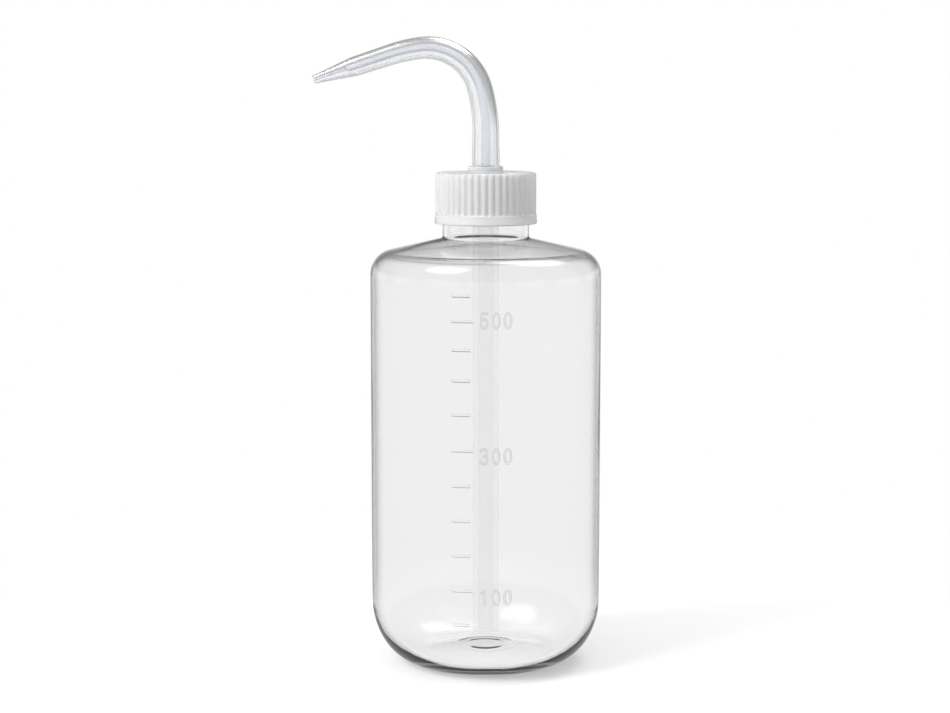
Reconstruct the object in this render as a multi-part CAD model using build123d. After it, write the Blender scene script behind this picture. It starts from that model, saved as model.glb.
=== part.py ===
from build123d import *
from math import asin, cos, degrees, radians, sin, tan
import os

# Squeeze wash bottle, nominal 500 ml: blown bottle, screw cap, stopper, spout and dip tube.
# Millimetres, +Z up, origin at the centre of the standing ring. The graduation faces -Y
# and the spout points towards -X.

# Bottle body
body_r = 37.5             # outer radius of the straight side
wall = 1.1                # wall of side, heel and shoulder
side_top_z = 128.0        # where the straight side ends
heel_h = 20.7             # height of the elliptical heel
stand_r = 21.6            # outer radius of the standing ring
stand_w = 1.8             # width of the standing ring
floor_t = 2.2             # floor, thicker than the wall
push_up = 1.4             # how far the middle of the floor is raised
gate_r = 8.0              # flat disc in the middle of the floor
gate_step = 0.3           # the disc is set up by this much
corner_r = 7.6            # shoulder corner
shoulder_deg = 13.3       # slope of the shoulder cone

# Neck
neck_root_r = 13.0        # neck between the thread turns
neck_wall = 1.2
neck_show = 4.7           # plain band that shows between shoulder and cap
band_wall = 1.4
band_gap = 0.5            # between the band's taper and the cap's ridge
neck_fillet = 0.8         # where the band meets the shoulder
rim_bevel = 0.3

# Thread, one ridge on the neck and one in the cap
thread_depth = 1.05
thread_pitch = 4.2
thread_turns = 1.5
thread_root_w = 2.0       # width of a ridge at its foot
thread_crest_w = 0.9      # width of a ridge at its top
thread_lap = 0.25         # how deep a ridge's foot sits in its wall
thread_run_deg = 24.0     # angle over which each end of a ridge fades into its wall
thread_top_gap = 2.8      # from the upper end of the neck's ridge to the rim
radial_play = 0.25        # between neck and cap, at crests and roots
axial_play = 0.2          # between the loaded flanks, along the axis

# Graduation, embossed bars on the front
mark_first_z = 20.1       # the 50 ml bar
mark_steps = (11.0, 11.2, 11.1, 11.1, 11.2, 11.3, 10.7, 9.6, 9.0, 7.9)
mark_left_x = -10.8
mark_short = 5.9
mark_long = 6.9
mark_h = 1.0
mark_rise = 0.35
long_marks = (1, 5, 9)    # 100, 300 and 500 ml

# Screw cap
cap_wall = 1.55           # behind the grooves
cap_top_t = 1.3
cap_plain_h = 3.5         # from the cap's lower edge to the lower end of its ridge
cap_edge_round = 1.0      # rounding of the upper edge, built as two bevels
rib_count = 45
rib_depth = 0.5
groove_w = 1.35           # width of the groove between two ribs
cap_band_h = 3.0          # plain band at the foot of the cap
cap_band_rise = 0.1       # the band stands proud of the ribs
cap_band_flare = 0.2      # its further growth towards the lower edge
collar_t = 0.95           # collar round the spout
collar_h = 1.9
collar_bevel = 0.45
hole_play = 0.2           # between spout and cap
bead_h = 0.8              # bead that keeps the stopper in the cap
bead_rise = 0.55
bead_drop = 0.3           # gap between bead and flange

# Stopper
flange_t = 1.0
flange_play = 0.35        # between flange and cap wall
seat_play = 0.05          # rim to flange, and flange to cap
skirt_h = 7.5
skirt_t = 1.1
skirt_play = 0.2          # between skirt and neck
skirt_lead = 0.5          # chamfer at the skirt's lower edge
sleeve_t = 1.25
sleeve_h = 11.5

# Spout, a bent tube that narrows evenly from the cap to its tip
stem_r = 4.5
stem_bore_r = 2.2
stem_play = 0.05          # running clearance in the stopper's sleeve
stem_in = 5.5             # stem below the rim
rise_l = 10.3             # straight run above the collar
bend_r = (56.0, 17.6, 50.0)
bend_deg = (15.2, 81.9, 10.8)
arm_l = 12.8              # straight run after the bend
arm_r = 3.13
arm_bore_r = 1.5
tip_l = 13.6
tip_r = 1.3
tip_bore_r = 0.6
tip_round = 0.3
bore_past = 2.2           # how far the wide bore runs into the tip

# Dip tube
tube_r = 4.25
tube_wall = 1.75
tube_play = 0.02          # push fit in the stopper's sleeve
tube_gap = 0.5            # under the spout's stem
tube_foot_z = 8.6

# Radii that follow from the sizes above
band_r = neck_root_r + thread_depth
band_bore_r = band_r - band_wall
neck_bore_r = neck_root_r - neck_wall
cap_bore_r = band_r + radial_play
cap_r = cap_bore_r + cap_wall + rib_depth
hole_r = stem_r + hole_play
sleeve_bore_r = stem_r + stem_play
tube_seat_r = tube_r + tube_play

# Heights that follow, from the shoulder upwards
slope = radians(shoulder_deg)
corner_x = body_r - corner_r
cone_x = corner_x + corner_r * sin(slope)
cone_z = side_top_z + corner_r * cos(slope)
neck_z = cone_z + (cone_x - band_r) * tan(slope)
cap_foot_z = neck_z + neck_show
cap_thread_z = cap_foot_z + cap_plain_h
flank = (thread_root_w - thread_crest_w) / 2 / thread_depth
thread_z = cap_thread_z + (thread_root_w + thread_crest_w) / 2 - flank * radial_play + axial_play
thread_rise = thread_pitch * thread_turns
rim_z = thread_z + thread_rise + thread_top_gap
flange_z = rim_z + seat_play
flange_top_z = flange_z + flange_t
cap_in_z = flange_top_z + seat_play
cap_top_z = cap_in_z + cap_top_t
collar_z = cap_top_z + collar_h
neck_step_z = cap_thread_z - thread_root_w / 2 - band_gap
stem_foot_z = rim_z - stem_in
tube_top_z = stem_foot_z - tube_gap


def spin(edges):
    """Solid of revolution about Z from a closed outline, drawn as radius and height."""
    return revolve(Plane.XZ * make_face(edges), Axis.Z)


def outline(*points):
    """Closed outline through points of radius and height."""
    return Polyline(*points, close=True).edges()


def round_corner(face, radius, x, z):
    """Face with the corner nearest to the given point rounded."""
    return fillet(face.vertices().sort_by_distance((x, z, 0))[0], radius)


def body_outline(inset, foot_z):
    """Bottle outline from the middle of the floor to the shoulder cone, moved in by inset."""
    gate_z = push_up + foot_z
    heel_x = body_r - stand_r - inset
    shoulder_arc = CenterArc((corner_x, side_top_z), corner_r - inset, 0, 90 - shoulder_deg)
    floor = Polyline(
        (0, gate_z + gate_step),
        (gate_r, gate_z + gate_step),
        (gate_r, gate_z),
        (stand_r - stand_w, foot_z),
        (stand_r, foot_z),
    )
    heel = EllipticalCenterArc((stand_r, heel_h), heel_x, heel_h - foot_z, 270, arc_size=90)
    side = Line((body_r - inset, heel_h), (body_r - inset, side_top_z))
    return [*floor.edges(), heel, side, shoulder_arc]


def bottle_blank():
    """The blown bottle without thread and graduation."""
    inner_x = cone_x - wall * sin(slope)
    inner_z = cone_z - wall * cos(slope)
    neck = Polyline(
        (cone_x, cone_z),
        (band_r, neck_z),
        (band_r, neck_step_z - thread_depth),
        (neck_root_r, neck_step_z),
        (neck_root_r, rim_z - rim_bevel),
        (neck_root_r - rim_bevel, rim_z),
        (neck_bore_r + rim_bevel, rim_z),
        (neck_bore_r, rim_z - rim_bevel),
        (neck_bore_r, neck_step_z),
        (band_bore_r, neck_step_z - abs(band_bore_r - neck_bore_r)),
        (band_bore_r, inner_z + (inner_x - band_bore_r) * tan(slope)),
        (inner_x, inner_z),
    )
    outer = body_outline(0, 0)
    inner = body_outline(wall, floor_t)
    axis_z = push_up + gate_step
    middle = Line((0, axis_z), (0, axis_z + floor_t))
    face = make_face([*outer, *neck.edges(), *inner, middle])
    return revolve(Plane.XZ * round_corner(face, neck_fillet, band_r, neck_z), Axis.Z)


def polar(radius, angle_deg):
    return (radius * cos(radians(angle_deg)), radius * sin(radians(angle_deg)))


def ridge(root_r, way, z_low):
    """Helical ridge on a wall of radius root_r, growing outwards (way 1) or inwards (way -1)."""
    foot_r = root_r - way * thread_lap
    crest_r = root_r + way * thread_depth
    past_r = crest_r + way * thread_depth
    foot_w = thread_root_w + 2 * flank * thread_lap
    section = make_face(
        outline(
            (foot_r, -foot_w / 2),
            (crest_r, -thread_crest_w / 2),
            (crest_r, thread_crest_w / 2),
            (foot_r, foot_w / 2),
        )
    )
    path = Helix(thread_pitch, thread_rise, root_r)
    whole = sweep(Plane.XZ * section, path, is_frenet=True)
    # Each end is pared down to the wall by a block that stands half a pitch above and below it
    corners = ((foot_r, 0), (past_r, 0), (past_r, thread_run_deg), (crest_r, thread_run_deg))
    for end_deg, turn in ((0, 1), (360 * thread_turns, -1)):
        paring = make_face(outline(*[polar(r, end_deg + turn * a) for r, a in corners]))
        end_z = thread_pitch * end_deg / 360
        whole -= Pos(0, 0, end_z) * extrude(paring, thread_pitch / 2, both=True)
    return Pos(0, 0, z_low) * whole


def wedge(start_deg, span_deg, z_low, height):
    """Block that widens from the axis, to cut a short stretch out of a ring."""
    reach = 2 * body_r
    block = extrude(make_face(outline((0, 0), (reach, 0), polar(reach, span_deg))), height)
    return Pos(0, 0, z_low) * Rot(0, 0, start_deg) * block


def graduation():
    """The embossed bars, as short stretches of ring on the front of the bottle."""
    front_deg = -90
    bars = []
    for index in range(len(mark_steps) + 1):
        low_z = mark_first_z + sum(mark_steps[:index]) - mark_h / 2
        length = mark_long if index in long_marks else mark_short
        left_deg = degrees(asin(mark_left_x / body_r))
        right_deg = degrees(asin((mark_left_x + length) / body_r))
        band = spin(
            outline(
                (body_r - wall / 2, low_z),
                (body_r + mark_rise, low_z),
                (body_r + mark_rise, low_z + mark_h),
                (body_r - wall / 2, low_z + mark_h),
            )
        )
        bars.append(band & wedge(front_deg + left_deg, right_deg - left_deg, low_z, mark_h))
    return bars


def make_bottle():
    return bottle_blank() + ridge(neck_root_r, 1, thread_z) + graduation()


def make_cap():
    """Screw cap with grip ribs, collar, inner thread and the bead that holds the stopper."""
    band_top_z = cap_foot_z + cap_band_h
    band_top_r = cap_r + cap_band_rise
    edge_in = cap_edge_round * (1 - cos(radians(45)))
    dome = spin(
        outline(
            (0, band_top_z),
            (cap_r, band_top_z),
            (cap_r, cap_top_z - cap_edge_round),
            (cap_r - edge_in, cap_top_z - edge_in),
            (cap_r - cap_edge_round, cap_top_z),
            (0, cap_top_z),
        )
    )
    groove_r = (groove_w ** 2 / 4 + rib_depth ** 2) / (2 * rib_depth)
    groove_places = PolarLocations(cap_r - rib_depth + groove_r, rib_count)
    grooved = Circle(cap_r) - [place * Circle(groove_r) for place in groove_places]
    ribbed = dome & (Pos(0, 0, band_top_z) * extrude(grooved, cap_top_z - band_top_z))
    band = spin(
        outline(
            (0, cap_foot_z),
            (band_top_r + cap_band_flare, cap_foot_z),
            (band_top_r, band_top_z),
            (0, band_top_z),
        )
    )
    collar_r = hole_r + collar_t
    collar = spin(
        outline(
            (0, cap_in_z),
            (collar_r, cap_in_z),
            (collar_r, collar_z - collar_bevel),
            (collar_r - collar_bevel, collar_z),
            (0, collar_z),
        )
    )
    bore = Pos(0, 0, cap_foot_z) * extrude(Circle(cap_bore_r), cap_in_z - cap_foot_z)
    hole = Pos(0, 0, cap_in_z) * extrude(Circle(hole_r), collar_z - cap_in_z)
    bead_z = flange_z - bead_drop
    bead = spin(
        outline(
            (cap_bore_r + thread_lap, bead_z - bead_h),
            (cap_bore_r - bead_rise, bead_z - bead_h / 2),
            (cap_bore_r - bead_rise, bead_z),
            (cap_bore_r + thread_lap, bead_z),
        )
    )
    return (ribbed + band + collar) - bore - hole + bead + ridge(cap_bore_r, -1, cap_thread_z)


def make_stopper():
    """Flanged stopper with a skirt in the neck and a sleeve for spout and dip tube."""
    skirt_r = neck_bore_r - skirt_play
    skirt_z = flange_z - skirt_h
    sleeve_r = max(sleeve_bore_r, tube_seat_r) + sleeve_t
    sleeve_z = flange_top_z - sleeve_h
    flange_r = cap_bore_r - flange_play
    return spin(
        outline(
            (tube_seat_r, sleeve_z),
            (sleeve_r, sleeve_z),
            (sleeve_r, flange_z),
            (skirt_r - skirt_t, flange_z),
            (skirt_r - skirt_t, skirt_z),
            (skirt_r - skirt_lead, skirt_z),
            (skirt_r, skirt_z + skirt_lead),
            (skirt_r, flange_z),
            (flange_r, flange_z),
            (flange_r, flange_top_z),
            (sleeve_bore_r, flange_top_z),
            (sleeve_bore_r, tube_top_z),
            (tube_seat_r, tube_top_z),
        )
    )


def spout_path():
    """Centre line of the spout above the collar: a rise, three tangent arcs and an arm."""
    pieces = [Line((0, collar_z), (0, collar_z + rise_l))]
    for radius, turn in zip(bend_r, bend_deg):
        pieces.append(JernArc(pieces[-1] @ 1, pieces[-1] % 1, radius, turn))
    pieces.append(Line(pieces[-1] @ 1, (pieces[-1] @ 1) + (pieces[-1] % 1) * arm_l))
    return Plane.XZ * Wire([edge for piece in pieces for edge in piece.edges()])


def tapered_tube(path, start_r, end_r):
    """Round bar along a path, narrowing from start_r to end_r."""
    first = Plane(origin=path @ 0, z_dir=path % 0) * Circle(start_r)
    last = Plane(origin=path @ 1, z_dir=path % 1) * Circle(end_r)
    return sweep([first, last], path, multisection=True)


def make_spout():
    path = spout_path()
    stem_l = collar_z - stem_foot_z
    stem = Pos(0, 0, stem_foot_z) * extrude(Circle(stem_r), stem_l)
    stem_bore = Pos(0, 0, stem_foot_z) * extrude(Circle(stem_bore_r), stem_l)
    cone = make_face(outline((0, 0), (arm_r, 0), (tip_r, tip_l), (0, tip_l)))
    cone = round_corner(cone, tip_round, tip_r, tip_l)
    step = arm_bore_r - tip_bore_r
    tip_bore = outline(
        (0, 0),
        (arm_bore_r, 0),
        (arm_bore_r, bore_past),
        (tip_bore_r, bore_past + step),
        (tip_bore_r, tip_l),
        (0, tip_l),
    )
    end = Plane(origin=path @ 1, z_dir=path % 1)
    tip = end * revolve(Plane.XZ * cone, Axis.Z)
    outer = stem + tapered_tube(path, stem_r, arm_r) + tip
    return outer - stem_bore - tapered_tube(path, stem_bore_r, arm_bore_r) - end * spin(tip_bore)


def make_dip_tube():
    face = Circle(tube_r) - Circle(tube_r - tube_wall)
    return Pos(0, 0, tube_foot_z) * extrude(face, tube_top_z - tube_foot_z)


nodes = {
    "bottle": make_bottle,
    "screw_cap": make_cap,
    "stopper": make_stopper,
    "spout": make_spout,
    "dip_tube": make_dip_tube,
}
os.makedirs("parts", exist_ok=True)
for name, make in nodes.items():
    export_step(make(), f"parts/{name}.step")
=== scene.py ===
from math import acos, ceil, cos, degrees, pi, radians, sin, tan

import bpy
import numpy as np
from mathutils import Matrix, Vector


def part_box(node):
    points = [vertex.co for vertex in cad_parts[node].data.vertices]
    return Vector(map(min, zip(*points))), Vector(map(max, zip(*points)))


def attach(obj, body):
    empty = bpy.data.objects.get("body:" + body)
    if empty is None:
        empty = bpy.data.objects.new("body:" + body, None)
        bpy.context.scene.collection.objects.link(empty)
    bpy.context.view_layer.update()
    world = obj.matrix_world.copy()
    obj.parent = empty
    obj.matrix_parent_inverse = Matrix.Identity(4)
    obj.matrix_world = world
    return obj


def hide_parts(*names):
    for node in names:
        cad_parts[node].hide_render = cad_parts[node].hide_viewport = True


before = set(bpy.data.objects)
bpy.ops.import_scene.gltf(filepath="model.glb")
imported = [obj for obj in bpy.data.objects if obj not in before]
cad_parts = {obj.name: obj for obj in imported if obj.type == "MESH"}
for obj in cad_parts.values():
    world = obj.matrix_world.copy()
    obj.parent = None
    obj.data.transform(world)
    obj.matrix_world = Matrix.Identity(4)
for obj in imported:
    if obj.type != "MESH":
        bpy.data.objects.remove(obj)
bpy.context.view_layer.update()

# The looks of the wash bottle. Lengths are millimetres until a mesh is made, and metres from there on.
# The sizes are those of the solids, so that each piece stands in its node's place.
MM = 0.001

# Bottle body
body_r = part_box("bottle")[1][0] / MM
rim_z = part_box("bottle")[1][2] / MM
wall = 1.1
side_top_z = 128.0
heel_h = 20.7
stand_r = 21.6
stand_w = 1.8
stand_round = 0.5
floor_t = 2.2
push_up = 1.4
gate_r = 8.0
gate_step = 0.3
gate_run = 3.6            # the disc's edge is a soft slope this wide
corner_r = 7.6
slope = radians(13.3)

# Neck and thread
neck_root_r = 13.0
neck_bore_r = 11.8
band_wall = 1.4
band_gap = 0.5
neck_fillet = 0.8
rim_round = 0.35
thread_depth = 1.05
thread_pitch = 4.2
thread_turns = 1.5
thread_root_w = 2.0
thread_crest_w = 0.9
thread_run = radians(24.0)
thread_top_gap = 2.8
radial_play = 0.25

# Graduation
mark_first_z = 20.1
mark_steps = (11.0, 11.2, 11.1, 11.1, 11.2, 11.3, 10.7, 9.6, 9.0, 7.9)
mark_left_x = -10.8
mark_short = 5.9
mark_long = 6.9
mark_h = 1.0
mark_rise = 0.35
mark_slope = 0.25
long_marks = (1, 5, 9)
numerals = {1: "100", 5: "300", 9: "500"}
digit_h = 5.3
digit_w = 2.8
digit_pitch = 3.7
digit_left_x = -2.1
digit_stroke = 0.72
digit_rise = 0.09
digit_slope = 0.22
painted_line_half_w = 0.17        # half the width of the thin line of painted shade along a digit's or bar's edge
# How dark the painted shade along the digits' and the bars' edges is: it stands in for the light that the
# raised plastic bends away
digit_painted_shade = 0.68
bar_painted_shade = 0.25
digit_drop = {1: 2.0, 5: 1.7, 9: -0.2}   # how far a numeral's middle lies under its bar

# Screw cap
cap_foot_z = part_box("screw_cap")[0][2] / MM
collar_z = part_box("screw_cap")[1][2] / MM
collar_h = 1.9
cap_top_t = 1.3
cap_wall = 1.55
rib_count = 45
rib_depth = 0.5
groove_w = 1.35
groove_run = 0.6          # height over which a groove fades in above the band
cap_band_h = 3.0
cap_band_rise = 0.1
cap_band_flare = 0.2
cap_edge_round = 1.0
cap_plain_h = 3.5
collar_t = 0.95
collar_round = 0.5
hole_play = 0.2
bead_h = 0.8
bead_rise = 0.55
bead_drop = 0.3

# Stopper
flange_t = 1.0
flange_play = 0.35
seat_play = 0.05
skirt_h = 7.5
skirt_t = 1.1
skirt_play = 0.2
skirt_lead = 0.5
sleeve_t = 1.25
sleeve_h = 11.5

# Spout and dip tube
stem_r = 4.5
stem_bore_r = 2.2
stem_play = 0.05
stem_foot_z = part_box("spout")[0][2] / MM
rise_l = 10.3
bend_r = (56.0, 17.6, 50.0)
bend_deg = (15.2, 81.9, 10.8)
arm_l = 12.8
arm_r = 3.13
arm_bore_r = 1.5
tip_l = 13.6
tip_r = 1.3
tip_bore_r = 0.6
tip_round = 0.3
bore_past = 2.2
tube_r = 4.25
tube_wall = 1.75
tube_play = 0.02
tube_foot_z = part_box("dip_tube")[0][2] / MM
tube_top_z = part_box("dip_tube")[1][2] / MM
end_round = 0.2           # broken edges of the tubes' ends

# Studio
panel_edge = 0.8          # share of the panels' cosine wave at which they are fully bright
panel_level = 0.85
gap_level = 0.1
mirrored_floor = 0.55
ceiling_level = 0.4
ceiling_rise = (0.0, 0.16)        # where the walls turn into the ceiling, as a direction's height
room_light = 0.75
floor_shade = 0.84
shadow_reach = (0.09, 0.2)        # metres over which the floor fades to plain white
softboxes = (                     # direction, and how bright each shows in gloss and glass
    ((-0.49, -0.32, 0.81), 3.5),
    ((0.33, 0.36, 0.87), 3.5),
)
softbox_edge = (0.93, 0.985)      # cosines from a softbox's middle to its rim

# Camera
camera_place = (-0.0035, -0.700, 0.1911)
camera_tilt = 0.1285      # radians below level
camera_lens = 81.82
camera_sensor = 36.0

# Looks
plastic_ior = 1.5
bottle_shades = ((0.925, 0.928, 0.927), (0.945, 0.946, 0.944))
bottle_roughness = 0.015
shadow_through = 0.75             # share of the light that each surface lets on to the floor
painted_shade_facing = (0.6, 0.95)         # how far the wall turns away where its painted edge shade starts and is full
# Painted shade darkens the bottle's colour where one looks along the wall, standing in for its dark outline
painted_edge_shade = 0.88
heel_zone = (0.002, 0.03)         # metres up, over which the painted edge shade grows to its full share and the painted white light of the heel fades out
heel_share = 0.1
shoulder_zone = (0.126, 0.136)    # metres up, over which the painted edge shade falls again
shoulder_share = 0.35
tube_shades = ((0.86, 0.87, 0.88), (0.9, 0.91, 0.92))
tube_clear = 0.985
tube_milk = (0.05, 0.22)          # share of milk in the dip tube's middle and at its edges
milky_roughness = (0.85, 1.15)    # least and most share of a milky plastic's roughness
milky_subsurface = 0.6
milky_reach = 0.002

# Roundings
fine_round = 0.15
small_round = 0.3
gate_round = 2.0
inner_round = 1.2
bore_round = 0.5
band_round = 0.08
cap_in_round = 0.2
hole_round = 0.1
lead_round = 0.2

# Mesh density
arc_step = 15.0           # most degrees between two points of a rounding
heel_points = 30
inner_heel_points = 26
corner_points = 20
inner_corner_points = 16
bottle_step = 4.0
cap_step = 2.0
rib_step = 0.6
rib_zone = 1.5            # how far in from the cap's side its outline is as fine as the ribs need
rib_columns = 12
stopper_step = 1.5
stopper_columns = 128
tube_step = 3.0
tube_columns = 96
spout_columns = 72
body_columns = 160
patch_division = 12       # fine columns in one coarse column of the graduation's patch
patch_cells = (-8, 7)     # coarse columns that bound the patch, counted from the front
patch_z = (18.0, 126.0)
patch_rings = 36
fine_step = 0.125
thread_step = 0.2

# Sizes that follow
band_r = neck_root_r + thread_depth
band_bore_r = band_r - band_wall
corner_x = body_r - corner_r
cone_x = corner_x + corner_r * sin(slope)
cone_z = side_top_z + corner_r * cos(slope)
neck_z = cone_z + (cone_x - band_r) * tan(slope)
thread_rise = thread_pitch * thread_turns
thread_z = rim_z - thread_top_gap - thread_rise
cap_thread_z = cap_foot_z + cap_plain_h
neck_step_z = cap_thread_z - thread_root_w / 2 - band_gap
cap_top_z = collar_z - collar_h
cap_in_z = cap_top_z - cap_top_t
cap_bore_r = band_r + radial_play
cap_r = cap_bore_r + cap_wall + rib_depth
hole_r = stem_r + hole_play
flange_z = rim_z + seat_play
flange_top_z = flange_z + flange_t


# Outlines and meshes

def rounded(corners):
    """Outline through corners (radius, height, rounding), each rounding drawn as an arc."""
    points = []
    for index, corner in enumerate(corners):
        here = np.array(corner[:2], float)
        rounding = corner[2] if len(corner) > 2 else 0
        if not rounding:
            points.append(tuple(here))
            continue
        before = np.array(corners[index - 1][:2], float) - here
        after = np.array(corners[(index + 1) % len(corners)][:2], float) - here
        before /= np.linalg.norm(before)
        after /= np.linalg.norm(after)
        opening = acos(np.clip(before @ after, -1, 1))
        middle = (before + after) / np.linalg.norm(before + after)
        centre = here + middle * rounding / sin(opening / 2)
        first = here + before * rounding / tan(opening / 2) - centre
        last = here + after * rounding / tan(opening / 2) - centre
        turn = pi - opening
        count = max(2, ceil(degrees(turn) / arc_step))
        for part in range(count + 1):
            share = part / count
            spoke = sin((1 - share) * turn) * first + sin(share * turn) * last
            points.append(tuple(centre + spoke / sin(turn)))
    return points


def ellipse(centre, radii, start_deg, end_deg, count):
    """Points of an elliptical arc in the outline's plane, both ends included."""
    angles = np.radians(np.linspace(start_deg, end_deg, count))
    return [(centre[0] + radii[0] * cos(a), centre[1] + radii[1] * sin(a)) for a in angles]


def divided(points, step, loop=False):
    """Outline with its long runs divided. step(first, second) is the longest run allowed there."""
    result = []
    ends = points[1:] + points[:1] if loop else points[1:]
    for one, two in zip(points, ends):
        count = max(1, ceil(np.hypot(two[0] - one[0], two[1] - one[1]) / step(one, two)))
        for i in range(count):
            result.append((one[0] + (two[0] - one[0]) * i / count, one[1] + (two[1] - one[1]) * i / count))
    return result if loop else result + [points[-1]]


def mesh_object(name, verts, faces, material):
    """Smooth mesh object from vertices in millimetres."""
    mesh = bpy.data.meshes.new(name)
    mesh.from_pydata((np.asarray(verts, float) * MM).tolist(), [], faces)
    mesh.validate()
    mesh.shade_smooth()
    mesh.materials.append(material)
    piece = bpy.data.objects.new(name, mesh)
    bpy.context.scene.collection.objects.link(piece)
    return piece


def lathe(profile, columns, shape=None):
    """Turned form from a looped outline. shape(radius, height, angles) may move the radii."""
    angles = np.arange(columns) * 2 * pi / columns - pi / 2
    verts = []
    faces = []
    for ring, (radius, height) in enumerate(profile):
        radii = shape(radius, height, angles) if shape else np.full(columns, radius)
        verts.extend(zip(radii * np.cos(angles), radii * np.sin(angles), np.full(columns, height)))
        here = ring * columns
        there = (ring + 1) % len(profile) * columns
        for i in range(columns):
            j = (i + 1) % columns
            faces.append((here + i, here + j, there + j, there + i))
    return verts, faces


def soft_step(x):
    x = np.clip(x, 0, 1)
    return x * x * (3 - 2 * x)


def ridge(height, angles, z_low):
    """Share of the thread ridge's full depth at one height, for all angles. Both ends fade out."""
    share = np.zeros(len(angles))
    total = 2 * pi * thread_turns
    for lap in range(ceil(thread_turns)):
        swept = np.mod(angles, 2 * pi) + 2 * pi * lap
        off = np.abs(height - z_low - thread_pitch * swept / (2 * pi))
        level = np.clip((thread_root_w / 2 - off) / (thread_root_w - thread_crest_w) * 2, 0, 1)
        fade = np.clip(swept / thread_run, 0, 1) * np.clip((total - swept) / thread_run, 0, 1)
        share = np.maximum(share, level * fade)
    return share


# Graduation. A digit is drawn as strokes in a box 1 wide and 2 high.

def oval(centre_x, centre_z, half_w, half_h, start_deg, end_deg, count=18):
    return ellipse((centre_x, centre_z), (half_w, half_h), start_deg, end_deg, count)


strokes = {
    "0": [oval(0.5, 1.0, 0.36, 0.86, 0, 360, 33)],
    "1": [[(0.22, 1.5), (0.44, 1.66), (0.56, 1.86), (0.56, 0.12)]],
    "3": [oval(0.48, 1.46, 0.34, 0.4, 165, -80), oval(0.48, 0.59, 0.37, 0.46, 85, -170)],
    "5": [[(0.84, 1.85), (0.27, 1.85), (0.18, 0.98)], oval(0.5, 0.68, 0.37, 0.53, 140, -165, 22)],
}


def line_distance(x, z, line):
    """Distance of places from a line of straight runs."""
    best = np.full(x.shape, np.inf)
    for (ax, az), (bx, bz) in zip(line, line[1:]):
        run = (bx - ax) ** 2 + (bz - az) ** 2
        share = np.clip(((x - ax) * (bx - ax) + (z - az) * (bz - az)) / run, 0, 1)
        best = np.minimum(best, np.hypot(x - ax - share * (bx - ax), z - az - share * (bz - az)))
    return best


mark_heights = [mark_first_z + sum(mark_steps[:index]) for index in range(len(mark_steps) + 1)]


def digit_depth(x, z):
    """How deep places lie inside a digit's stroke, less than 0 outside."""
    depth = np.full(x.shape, -np.inf)
    for index, text in numerals.items():
        low_z = mark_heights[index] - digit_drop[index] - digit_h / 2
        near = np.abs(z - mark_heights[index]) < digit_h
        for place, digit in enumerate(text):
            left = digit_left_x + place * digit_pitch
            for line in strokes[digit]:
                drawn = [(left + px * digit_w, low_z + pz * digit_h / 2) for px, pz in line]
                inside = digit_stroke / 2 - line_distance(x[near], z[near], drawn)
                depth[near] = np.maximum(depth[near], inside)
    return depth


def bar_depth(x, z):
    """How deep places lie inside a bar, less than 0 outside."""
    depth = np.full(x.shape, -np.inf)
    for index, mark_z in enumerate(mark_heights):
        length = mark_long if index in long_marks else mark_short
        beside = length / 2 - np.abs(x - mark_left_x - length / 2)
        above = mark_h / 2 - np.abs(z - mark_z)
        depth = np.maximum(depth, np.minimum(beside, above))
    return depth


def painted_mark_lines(x, z):
    """Painted shade of the thin lines along digits and bars, in place of the light that the raised plastic
    bends away.
    """
    digits = 1 - np.abs(digit_depth(x, z) - digit_slope / 2) / painted_line_half_w
    bars = 1 - np.abs(bar_depth(x, z) - mark_slope / 2) / painted_line_half_w
    return np.maximum(digit_painted_shade * np.clip(digits, 0, 1), bar_painted_shade * np.clip(bars, 0, 1))


def emboss(x, z):
    """How far the graduation stands off the bottle's side at places x across and z up."""
    bars = mark_rise * soft_step(bar_depth(x, z) / mark_slope)
    return np.maximum(bars, digit_rise * soft_step(digit_depth(x, z) / digit_slope))


# Bottle

def side_r(z):
    """Outer radius of the bottle between heel and shoulder."""
    below = np.minimum(np.asarray(z, float) - heel_h, 0) / heel_h
    return stand_r + (body_r - stand_r) * np.sqrt(1 - below ** 2)


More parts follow.
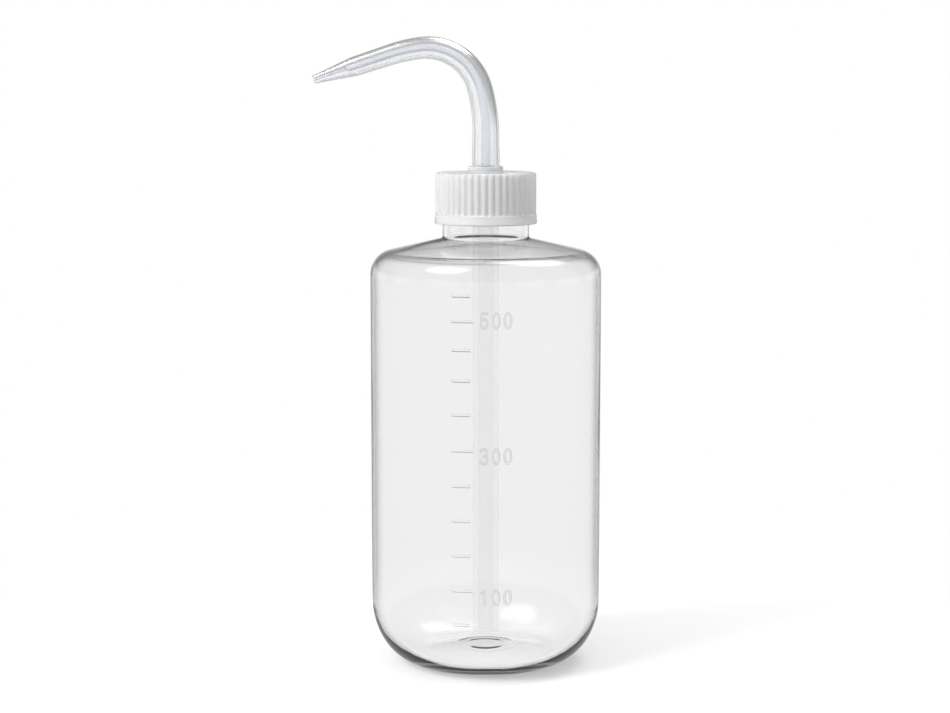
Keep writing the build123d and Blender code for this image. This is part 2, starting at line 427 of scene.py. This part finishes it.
def bottle_outline():
    """Outer outline up to the patch, through the patch, and on over the rim to the inner floor."""
    gate = gate_run / 2
    start_deg = degrees(np.arcsin((patch_z[0] - heel_h) / heel_h))
    low = rounded(
        [
            (0, push_up + gate_step),
            (gate_r - gate, push_up + gate_step, gate_round),
            (gate_r + gate, push_up, gate_round),
            (stand_r - stand_w, 0, stand_round),
            (stand_r, 0),
        ]
    )[1:-1]
    low += ellipse((stand_r, heel_h), (body_r - stand_r, heel_h), -90, start_deg, heel_points)[:-1]
    side = [(float(side_r(z)), z) for z in np.linspace(*patch_z, patch_rings + 1)]
    inner_x = cone_x - wall * sin(slope)
    inner_z = cone_z - wall * cos(slope)
    cone_deg = 90 - degrees(slope)
    shoulder = ellipse((corner_x, side_top_z), (corner_r, corner_r), 0, cone_deg, corner_points)
    neck = rounded(
        [
            (cone_x, cone_z),
            (band_r, neck_z, neck_fillet),
            (band_r, neck_step_z - thread_depth, small_round),
            (neck_root_r, neck_step_z, small_round),
            (neck_root_r, rim_z, rim_round),
            (neck_bore_r, rim_z, rim_round),
            (neck_bore_r, neck_step_z, bore_round),
            (band_bore_r, neck_step_z - abs(band_bore_r - neck_bore_r), bore_round),
            (band_bore_r, inner_z + (inner_x - band_bore_r) * tan(slope), inner_round),
            (inner_x, inner_z),
        ]
    )
    inner_corner = (corner_r - wall, corner_r - wall)
    top = shoulder[:-1] + neck[:-1]
    top += ellipse((corner_x, side_top_z), inner_corner, cone_deg, 0, inner_corner_points)
    bowl = (body_r - stand_r - wall, heel_h - floor_t)
    top += ellipse((stand_r, heel_h), bowl, 0, -90, inner_heel_points)
    top += rounded(
        [
            (stand_r, floor_t),
            (stand_r - stand_w, floor_t, inner_round),
            (gate_r + gate, push_up + floor_t, gate_round),
            (gate_r - gate, push_up + gate_step + floor_t, gate_round),
            (0, push_up + gate_step + floor_t),
        ]
    )[1:-1]

    def step(one, two):
        on_neck = max(one[0], two[0]) < neck_root_r + 0.001 < one[0] + 0.01
        return thread_step if on_neck else bottle_step

    return divided(low, lambda one, two: bottle_step), side, divided(top, step)


def neck_radii(radius, height, angles):
    """Ring radii with the neck's thread ridge on its plain part."""
    radii = np.full(len(angles), radius)
    if abs(radius - neck_root_r) < 0.001:
        radii += thread_depth * ridge(height, angles, thread_z)
    return radii


def patch_heights(side):
    """Heights of the patch's rows: the coarse rings, and fine rows wherever a mark or digit is."""
    coarse = np.array([z for _, z in side])
    fine = []
    for index, mark_z in enumerate(mark_heights):
        reach = mark_h / 2 + fine_step
        low_z, high_z = mark_z - reach, mark_z + reach
        if index in numerals:
            low_z = min(low_z, mark_z - digit_drop[index] - digit_h / 2 - fine_step)
            high_z = max(high_z, mark_z - digit_drop[index] + digit_h / 2 + fine_step)
        fine.extend(np.arange(low_z, high_z + fine_step / 2, fine_step))
    fine = [z for z in fine if np.abs(coarse - z).min() > fine_step / 3]
    return np.array(sorted([*coarse, *fine]))


def make_bottle(material):
    """Double-walled bottle. The graduation lies in a patch of fine mesh on the front."""
    low, side, top = bottle_outline()
    profile = low + side + top
    columns = body_columns
    angles = np.arange(columns) * 2 * pi / columns - pi / 2
    verts = []
    for radius, height in profile:
        radii = neck_radii(radius, height, angles)
        verts.extend(zip(radii * np.cos(angles), radii * np.sin(angles), np.full(columns, height)))

    # Rows and columns of the patch. A place that a coarse vertex already holds isn't made twice.
    first_ring, last_ring = len(low), len(low) + len(side) - 1
    first_col, last_col = patch_cells
    rows = patch_heights(side)
    count = (last_col - first_col) * patch_division
    turned = np.radians(360 / columns) * (first_col + np.arange(count + 1) / patch_division)
    across, up = np.meshgrid(body_r * np.sin(turned), rows)
    radii = side_r(rows)[:, None] + emboss(across, up)
    coarse_rings = {z: first_ring + i for i, (_, z) in enumerate(side)}
    ids = np.zeros(radii.shape, int)
    for i, z in enumerate(rows):
        ring = coarse_rings.get(z)
        for j, angle in enumerate(turned - pi / 2):
            if ring is not None and j % patch_division == 0:
                ids[i, j] = ring * columns + (first_col + j // patch_division) % columns
                spot = ids[i, j]
                verts[spot] = (radii[i, j] * cos(angle), radii[i, j] * sin(angle), z)
            else:
                ids[i, j] = len(verts)
                verts.append((radii[i, j] * cos(angle), radii[i, j] * sin(angle), z))
    faces = [
        (ids[i, j], ids[i, j + 1], ids[i + 1, j + 1], ids[i + 1, j])
        for i in range(len(rows) - 1)
        for j in range(count)
    ]
    row_of = {ring: int(np.searchsorted(rows, z - 1e-9)) for z, ring in coarse_rings.items()}

    def level_edge(ring, col):
        """Vertices from one coarse column to the next, the last left out."""
        if ring in (first_ring, last_ring) and first_col <= col < last_col:
            j = (col - first_col) * patch_division
            return list(ids[row_of[ring], j:j + patch_division])
        return [ring * columns + col % columns]

    def upright_edge(ring, col):
        """Vertices from one coarse ring up to the next, the last left out."""
        if col in (first_col, last_col) and first_ring <= ring < last_ring:
            j = (col - first_col) * patch_division
            return list(ids[row_of[ring]:row_of[ring + 1], j])
        return [ring * columns + col % columns]

    for ring in range(len(profile) - 1):
        for cell in range(columns):
            col = cell - columns if cell >= columns // 2 else cell
            if first_ring <= ring < last_ring and first_col <= col < last_col:
                continue
            corner = (ring + 1) * columns + (col + 1) % columns
            top_run = (level_edge(ring + 1, col) + [corner])[::-1][:-1]
            left_run = (upright_edge(ring, col) + [(ring + 1) * columns + col % columns])[::-1][:-1]
            faces.append(level_edge(ring, col) + upright_edge(ring, col + 1) + top_run + left_run)
    outer_middle = len(verts)
    verts.append((0, 0, push_up + gate_step))
    verts.append((0, 0, push_up + gate_step + floor_t))
    last = (len(profile) - 1) * columns
    for i in range(columns):
        j = (i + 1) % columns
        faces.append((outer_middle, j, i))
        faces.append((outer_middle + 1, last + i, last + j))
    bottle = mesh_object("clear_bottle", verts, [[int(v) for v in face] for face in faces], material)
    # The painted shade along the graduation's edges is stored on the vertices.
    shade = np.zeros(len(verts))
    shade[ids] = painted_mark_lines(across, up)
    bottle.data.attributes.new("painted_mark_shade", "FLOAT", "POINT").data.foreach_set("value", shade)
    return bottle


# Closure

def make_cap(material):
    """Ribbed cap: hole, collar, rounded top, grip ribs, band, and the thread ridge and bead inside."""
    band_z = cap_foot_z + cap_band_h
    band_top_r = cap_r + cap_band_rise
    foot_r = band_top_r + cap_band_flare
    bead_z = flange_z - bead_drop
    corners = [
        (hole_r, collar_z, fine_round),
        (hole_r + collar_t, collar_z, collar_round),
        (hole_r + collar_t, cap_top_z, small_round),
        (cap_r, cap_top_z, cap_edge_round),
        (cap_r, band_z),
        (band_top_r, band_z, band_round),
        (foot_r, cap_foot_z, small_round),
        (cap_bore_r, cap_foot_z, small_round),
        (cap_bore_r, bead_z - bead_h),
        (cap_bore_r - bead_rise, bead_z - bead_h / 2, fine_round),
        (cap_bore_r - bead_rise, bead_z, fine_round),
        (cap_bore_r, bead_z),
        (cap_bore_r, cap_in_z, cap_in_round),
        (hole_r, cap_in_z, hole_round),
    ]

    def step(one, two):
        if one[0] == two[0] == cap_bore_r:
            return thread_step
        ribbed = band_z - 0.01 < min(one[1], two[1]) and one[0] > cap_r - rib_zone
        return rib_step if ribbed else cap_step

    groove_r = (groove_w ** 2 / 4 + rib_depth ** 2) / (2 * rib_depth)

    def shape(radius, height, angles):
        radii = np.full(len(angles), radius)
        if radius == cap_bore_r:
            radii -= thread_depth * ridge(height, angles, cap_thread_z)
        elif height >= band_z and radius > cap_r - cap_edge_round:
            pitch = 2 * pi / rib_count
            off = (np.mod(angles + pitch / 2, pitch) - pitch / 2) * cap_r
            depth = rib_depth - groove_r + np.sqrt(np.maximum(groove_r ** 2 - off ** 2, 0))
            depth = np.maximum(depth, 0) * soft_step((height - band_z) / groove_run)
            radii = np.minimum(radii, cap_r - depth)
        return radii

    profile = divided(rounded(corners)[::-1], step, loop=True)
    verts, faces = lathe(profile, rib_count * rib_columns, shape)
    return mesh_object("ribbed_cap", verts, faces, material)


def make_stopper(material):
    """Flanged stopper with skirt and sleeve."""
    skirt_r = neck_bore_r - skirt_play
    skirt_z = flange_z - skirt_h
    sleeve_bore_r = stem_r + stem_play
    tube_seat_r = tube_r + tube_play
    sleeve_r = sleeve_bore_r + sleeve_t
    sleeve_z = flange_top_z - sleeve_h
    flange_r = cap_bore_r - flange_play
    corners = [
        (tube_seat_r, sleeve_z, fine_round),
        (sleeve_r, sleeve_z, small_round),
        (sleeve_r, flange_z, small_round),
        (skirt_r - skirt_t, flange_z, small_round),
        (skirt_r - skirt_t, skirt_z, fine_round),
        (skirt_r - skirt_lead, skirt_z, fine_round),
        (skirt_r, skirt_z + skirt_lead, lead_round),
        (skirt_r, flange_z, fine_round),
        (flange_r, flange_z, fine_round),
        (flange_r, flange_top_z, fine_round),
        (sleeve_bore_r, flange_top_z, fine_round),
        (sleeve_bore_r, tube_top_z),
        (tube_seat_r, tube_top_z),
    ]
    profile = divided(rounded(corners), lambda one, two: stopper_step, loop=True)
    verts, faces = lathe(profile, stopper_columns)
    return mesh_object("stopper_plug", verts, faces, material)


# Spout and dip tube

def spout_line():
    """Centre line from the stem's foot to the tip: (x, z, direction, distance past the collar)."""
    x, z, heading = 0.0, stem_foot_z, pi / 2
    places = [(x, z, heading, stem_foot_z - collar_z)]

    def go(length, turn=0, step=1.0):
        nonlocal x, z, heading
        count = ceil(length / step)
        for _ in range(count):
            heading += turn / count / 2
            x += length / count * cos(heading)
            z += length / count * sin(heading)
            heading += turn / count / 2
            places.append((x, z, heading, places[-1][3] + length / count))

    go(collar_z - stem_foot_z)
    go(rise_l)
    for radius, turn in zip(bend_r, bend_deg):
        go(radius * radians(turn), radians(turn), step=0.7)
    go(arm_l)
    taper_end = places[-1][3]
    go(bore_past, step=0.4)
    go(arm_bore_r - tip_bore_r, step=0.2)
    go(tip_l - bore_past - arm_bore_r + tip_bore_r - tip_round, step=0.5)
    go(tip_round, step=0.05)
    return places, taper_end


def make_spout(material):
    """Bent tube that narrows evenly, with its cone and bore in one piece."""
    places, taper_end = spout_line()
    columns = spout_columns
    turned = np.arange(columns) * 2 * pi / columns
    total = places[-1][3]

    def outer_at(s):
        if s <= taper_end:
            return stem_r + (arm_r - stem_r) * max(s, 0) / taper_end
        radius = arm_r + (tip_r - arm_r) * (s - taper_end) / tip_l
        left = max(0.0, tip_round - (total - s))
        return radius - tip_round + (tip_round ** 2 - left ** 2) ** 0.5

    def bore_at(s):
        if s <= taper_end:
            return stem_bore_r + (arm_bore_r - stem_bore_r) * max(s, 0) / taper_end
        past = s - taper_end - bore_past
        return min(arm_bore_r, max(tip_bore_r, arm_bore_r - past))

    verts = []
    loop = [(place, outer_at(place[3])) for place in places]
    loop += [(place, bore_at(place[3])) for place in reversed(places)]
    for (x, z, heading, _), radius in loop:
        out = np.cos(turned) * radius
        verts.extend(zip(x - out * sin(heading), np.sin(turned) * radius, z + out * cos(heading)))
    faces = []
    for ring in range(len(loop)):
        here = ring * columns
        there = (ring + 1) % len(loop) * columns
        for i in range(columns):
            j = (i + 1) % columns
            faces.append((here + i, here + j, there + j, there + i))
    return mesh_object("spout_tube", verts, faces, material)


def make_dip_tube(material):
    """Straight tube, cut square, with its edges just broken."""
    bore_r = tube_r - tube_wall
    corners = [
        (tube_r, tube_foot_z, end_round),
        (tube_r, tube_top_z, end_round),
        (bore_r, tube_top_z, end_round),
        (bore_r, tube_foot_z, end_round),
    ]
    profile = divided(rounded(corners), lambda one, two: tube_step, loop=True)
    verts, faces = lathe(profile, tube_columns)
    return mesh_object("dip_tube_visual", verts, faces, material)


# Materials

class Nodes:
    """Short way to add nodes to a material or world and link them."""

    def __init__(self, owner):
        owner.use_nodes = True
        self.tree = owner.node_tree
        self.tree.nodes.clear()

    def add(self, kind, output=0, **settings):
        """New node. Keys that name an input set or link it, the others set a property."""
        node = self.tree.nodes.new("ShaderNode" + kind)
        values = settings.pop("inputs", {})
        for key, value in settings.items():
            setattr(node, key, value)
        for key, value in values.items():
            socket = node.inputs[key]
            if isinstance(value, bpy.types.NodeSocket):
                self.tree.links.new(value, socket)
            else:
                socket.default_value = value
        return node.outputs[output]

    def math(self, operation, *values, clamp=False):
        inputs = dict(enumerate(values))
        return self.add("Math", operation=operation, use_clamp=clamp, inputs=inputs)

    def finish(self, kind, shader):
        out = self.tree.nodes.new("ShaderNode" + kind)
        self.tree.links.new(shader, out.inputs["Surface"])

    def seen(self):
        """1 for a ray that shows this surface to the camera, directly, mirrored or through glass."""
        path = self.tree.nodes.new("ShaderNodeLightPath")
        either = self.math("MAXIMUM", path.outputs["Is Glossy Ray"], path.outputs["Is Transmission Ray"])
        kind = self.math("MAXIMUM", path.outputs["Is Camera Ray"], either)
        return self.math("SUBTRACT", kind, path.outputs["Diffuse Depth"], clamp=True)

    def path(self, kind):
        """1 for a ray of this kind."""
        return self.tree.nodes.new("ShaderNodeLightPath").outputs[kind]

    def mirrored(self):
        """1 for a ray that a surface has mirrored. A ray through glass counts as glossy too."""
        return self.math("SUBTRACT", self.path("Is Glossy Ray"), self.path("Is Transmission Ray"), clamp=True)


def noise(nodes, scale, detail=3.0, stretch=(1, 1, 1)):
    place = nodes.add("TexCoord", output="Object")
    moved = nodes.add("Mapping", inputs={"Vector": place, "Scale": stretch})
    return nodes.add("TexNoise", inputs={"Vector": moved, "Scale": scale, "Detail": detail})


def between(nodes, value, span, low, high, **settings):
    """Number that goes from low to high while the value goes through its span."""
    ends = {"From Min": span[0], "From Max": span[1], "To Min": low, "To Max": high}
    return nodes.add("MapRange", inputs={"Value": value, **ends}, **settings)


def mixed(nodes, share, low, high):
    """Number between two values, by a share from 0 to 1."""
    return between(nodes, share, (0.0, 1.0), low, high)


def tinted(nodes, share, low, high):
    """Colour between two colours, by a share from 0 to 1."""
    return nodes.add(
        "Mix", output=2, data_type="RGBA", inputs={0: share, 6: (*low, 1), 7: (*high, 1)}
    )


def clear_plastic():
    """Glossy clear bottle plastic, with the faint waviness of a blown wall. Its colour carries painted shade
    towards its edges, where one looks along the wall, and along the edges of the graduation, and painted
    light that whitens it low on the heel."""
    material = bpy.data.materials.new("clear_bottle_plastic")
    nodes = Nodes(material)
    wave = noise(nodes, scale=55, detail=1.5, stretch=(1, 1, 0.35))
    bump = nodes.add("Bump", inputs={"Strength": 0.25, "Distance": 0.0004, "Height": wave})
    # Painted shade: the colour darkens towards the wall's edges as seen, less so low on the heel and above
    # the shoulder.
    facing = nodes.add("LayerWeight", output=1, inputs={"Blend": 0.5})
    edge = between(nodes, facing, painted_shade_facing, 0.0, painted_edge_shade, interpolation_type="SMOOTHSTEP")
    height = split(nodes, nodes.add("TexCoord", output="Object"))[2]
    heel = between(nodes, height, heel_zone, heel_share, 1.0)
    shoulder = between(nodes, height, shoulder_zone, 1.0, shoulder_share)
    edge = nodes.math("MULTIPLY", edge, nodes.math("MINIMUM", heel, shoulder))
    # Painted shade along the graduation's edges darkens the colour further.
    edge = nodes.math("MAXIMUM", edge, nodes.add("Attribute", output="Fac", attribute_name="painted_mark_shade"))
    pale = tinted(nodes, noise(nodes, scale=30), *bottle_shades)
    # Painted light: low on the heel the colour turns white, which brightens the dark band seen through the
    # heel.
    pale = nodes.add("Mix", output=2, data_type="RGBA", inputs={0: heel, 6: (1, 1, 1, 1), 7: pale})
    colour = nodes.add("Mix", output=2, data_type="RGBA", inputs={0: edge, 6: pale, 7: (0, 0, 0, 1)})
    shader = nodes.add(
        "BsdfPrincipled",
        inputs={
            "Base Color": colour,
            "Roughness": bottle_roughness,
            "IOR": plastic_ior,
            "Transmission Weight": 1.0,
            "Normal": bump,
        },
    )
    through = nodes.add("BsdfTransparent", inputs={"Color": (shadow_through,) * 3 + (1,)})
    both = nodes.add("MixShader", inputs={0: nodes.path("Is Shadow Ray"), 1: shader, 2: through})
    nodes.finish("OutputMaterial", both)
    return material


def faint_plastic():
    """The dip tube's natural plastic, so clear that the tube hardly shows inside the bottle."""
    material = bpy.data.materials.new("dip_tube_plastic")
    nodes = Nodes(material)
    facing = nodes.add("LayerWeight", output=1, inputs={"Blend": 0.5})
    cloud = noise(nodes, scale=60, detail=2.0, stretch=(1, 1, 0.2))
    bump = nodes.add("Bump", inputs={"Strength": 0.2, "Distance": 0.0002, "Height": cloud})
    milk = nodes.add(
        "BsdfPrincipled",
        inputs={
            "Base Color": tinted(nodes, cloud, *tube_shades),
            "Roughness": 0.3,
            "Normal": bump,
        },
    )
    clear = nodes.add("BsdfTransparent", inputs={"Color": (tube_clear,) * 3 + (1,)})
    share = between(nodes, facing, (0.5, 1.0), *tube_milk)
    both = nodes.add("MixShader", inputs={0: share, 1: clear, 2: milk})
    nodes.finish("OutputMaterial", both)
    return material


def milky_plastic(name, pale, deep, clearness, roughness, grain):
    """Natural polyolefin: partly clear, partly milky, with a fine moulded grain."""
    material = bpy.data.materials.new(name)
    nodes = Nodes(material)
    cloud = noise(nodes, scale=grain, detail=4.0)
    fine = noise(nodes, scale=grain * 8, detail=2.0)
    bump = nodes.add("Bump", inputs={"Strength": 0.05, "Distance": 0.00001, "Height": fine})
    colour = tinted(nodes, cloud, deep, pale)
    shader = nodes.add(
        "BsdfPrincipled",
        inputs={
            "Base Color": colour,
            "Roughness": mixed(nodes, cloud, *[roughness * share for share in milky_roughness]),
            "IOR": plastic_ior,
            "Transmission Weight": clearness,
            "Subsurface Weight": milky_subsurface,
            "Subsurface Radius": (1.0, 1.0, 1.0),
            "Subsurface Scale": milky_reach,
            "Normal": bump,
        },
    )
    nodes.finish("OutputMaterial", shader)
    return material


def split(nodes, vector):
    apart = nodes.tree.nodes.new("ShaderNodeSeparateXYZ")
    nodes.tree.links.new(vector, apart.inputs[0])
    return apart.outputs


def panels(nodes, x, y):
    """Brightness of the studio's walls round about: pale panels with a dark gap between each two."""
    azimuth = nodes.math("ARCTAN2", y, x)
    wave = nodes.math("ABSOLUTE", nodes.math("COSINE", nodes.math("MULTIPLY", azimuth, 4.0)))
    return between(nodes, wave, (0.0, panel_edge), gap_level, panel_level)


def soft_boxes(nodes, direction):
    """Brightness of the softboxes overhead."""
    total = 0.0
    for towards, level in softboxes:
        middle = np.array(towards) / np.linalg.norm(towards)
        near = nodes.add(
            "VectorMath", output="Value", operation="DOT_PRODUCT", inputs={0: direction, 1: tuple(middle)}
        )
        spot = between(nodes, near, softbox_edge, 0.0, level, interpolation_type="SMOOTHSTEP")
        total = nodes.math("ADD", total, spot)
    return total


def floor_material():
    """White to the eye, with the object's shadow in the middle. Stray light meets a plain pale floor."""
    material = bpy.data.materials.new("pale_floor")
    nodes = Nodes(material)
    place = nodes.add("TexCoord", output="Object")
    away = nodes.add("VectorMath", output="Value", operation="LENGTH", inputs={0: place})
    far = between(nodes, away, shadow_reach, 0.0, 1.0)
    shaded = nodes.add("BsdfDiffuse", inputs={"Color": (floor_shade,) * 3 + (1,)})
    white = nodes.add("Emission", inputs={"Color": (1, 1, 1, 1), "Strength": 1.0})
    direct = nodes.add("MixShader", inputs={0: far, 1: shaded, 2: white})
    level = mixed(nodes, nodes.mirrored(), 1.0, mirrored_floor)
    other = nodes.add("Emission", inputs={"Color": (1, 1, 1, 1), "Strength": level})
    shown = nodes.add("MixShader", inputs={0: nodes.path("Is Camera Ray"), 1: other, 2: direct})
    plain = nodes.add("BsdfDiffuse", inputs={"Color": (0.8, 0.8, 0.8, 1)})
    both = nodes.add("MixShader", inputs={0: nodes.seen(), 1: plain, 2: shown})
    nodes.finish("OutputMaterial", both)
    return material


def make_world():
    """White behind everything. Glass and gloss also see a grey ceiling with softboxes, and gloss sees
    panels with dark gaps."""
    world = bpy.data.worlds.new("studio")
    bpy.context.scene.world = world
    nodes = Nodes(world)
    direction = nodes.add("TexCoord", output="Generated")
    x, y, z = split(nodes, direction)
    ceiling = between(nodes, z, ceiling_rise, 1.0, ceiling_level, interpolation_type="SMOOTHSTEP")
    walls = mixed(nodes, nodes.mirrored(), 1.0, panels(nodes, x, y))
    room = nodes.math("ADD", nodes.math("MULTIPLY", walls, ceiling), soft_boxes(nodes, direction))
    shown = mixed(nodes, nodes.path("Is Camera Ray"), room, 1.0)
    strength = mixed(nodes, nodes.seen(), room_light, shown)
    background = nodes.add("Background", inputs={"Color": (1, 1, 1, 1), "Strength": strength})
    nodes.finish("OutputWorld", background)


def area_lamp(name, place, aim, size, watts):
    data = bpy.data.lights.new(name, "AREA")
    data.shape = "RECTANGLE"
    data.size, data.size_y = size
    data.energy = watts
    lamp = bpy.data.objects.new(name, data)
    bpy.context.scene.collection.objects.link(lamp)
    lamp.location = place
    lamp.visible_glossy = False
    lamp.visible_transmission = False
    towards = np.array(aim) - np.array(place)
    lamp.rotation_euler = Vector(towards).to_track_quat("-Z", "Y").to_euler()


def make_floor():
    count = 96
    radius = 1.5
    turned = np.arange(count) * 2 * pi / count
    mesh = bpy.data.meshes.new("floor")
    verts = [(radius * cos(a), radius * sin(a), 0) for a in turned]
    mesh.from_pydata(verts, [], [tuple(range(count))])
    mesh.materials.append(floor_material())
    floor = bpy.data.objects.new("floor", mesh)
    bpy.context.scene.collection.objects.link(floor)


def make_camera():
    """The photograph's viewpoint, worked out from the bottle's edges."""
    data = bpy.data.cameras.new("camera")
    data.sensor_width = camera_sensor
    data.lens = camera_lens
    data.clip_start = 0.01
    camera = bpy.data.objects.new("camera", data)
    bpy.context.scene.collection.objects.link(camera)
    camera.location = camera_place
    camera.rotation_euler = (pi / 2 - camera_tilt, 0, 0)
    bpy.context.scene.camera = camera


make_camera()
make_world()
make_floor()
area_lamp("key", (-0.65, -0.4, 0.7), (0, 0, 0.1), (0.5, 0.5), 9)
area_lamp("fill", (0.4, 0.3, 1.0), (0, 0, 0.1), (0.4, 0.4), 4)

cap_look = milky_plastic("cap_plastic_look", (0.97, 0.975, 0.985), (0.9, 0.91, 0.93), 0.48, 0.16, 90)
tube_look = milky_plastic("tube_plastic_look", (0.925, 0.935, 0.965), (0.87, 0.885, 0.925), 0.86, 0.22, 30)
stopper_look = milky_plastic("stopper_look", (0.92, 0.93, 0.95), (0.88, 0.89, 0.92), 0.4, 0.3, 120)

pieces = [
    (make_bottle(clear_plastic()), "bottle", "bottle", "clear_bottle"),
    (make_cap(cap_look), "screw_cap", "cap", "cap_plastic"),
    (make_stopper(stopper_look), "stopper", "stopper", "stopper_plastic"),
    (make_spout(tube_look), "spout", "spout", "tube_plastic"),
    (make_dip_tube(faint_plastic()), "dip_tube", "stopper", "tube_plastic"),
]
for piece, node, body, slot in pieces:
    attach(piece, body)
    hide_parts(node)

bpy.context.scene.view_settings.view_transform = "Standard"
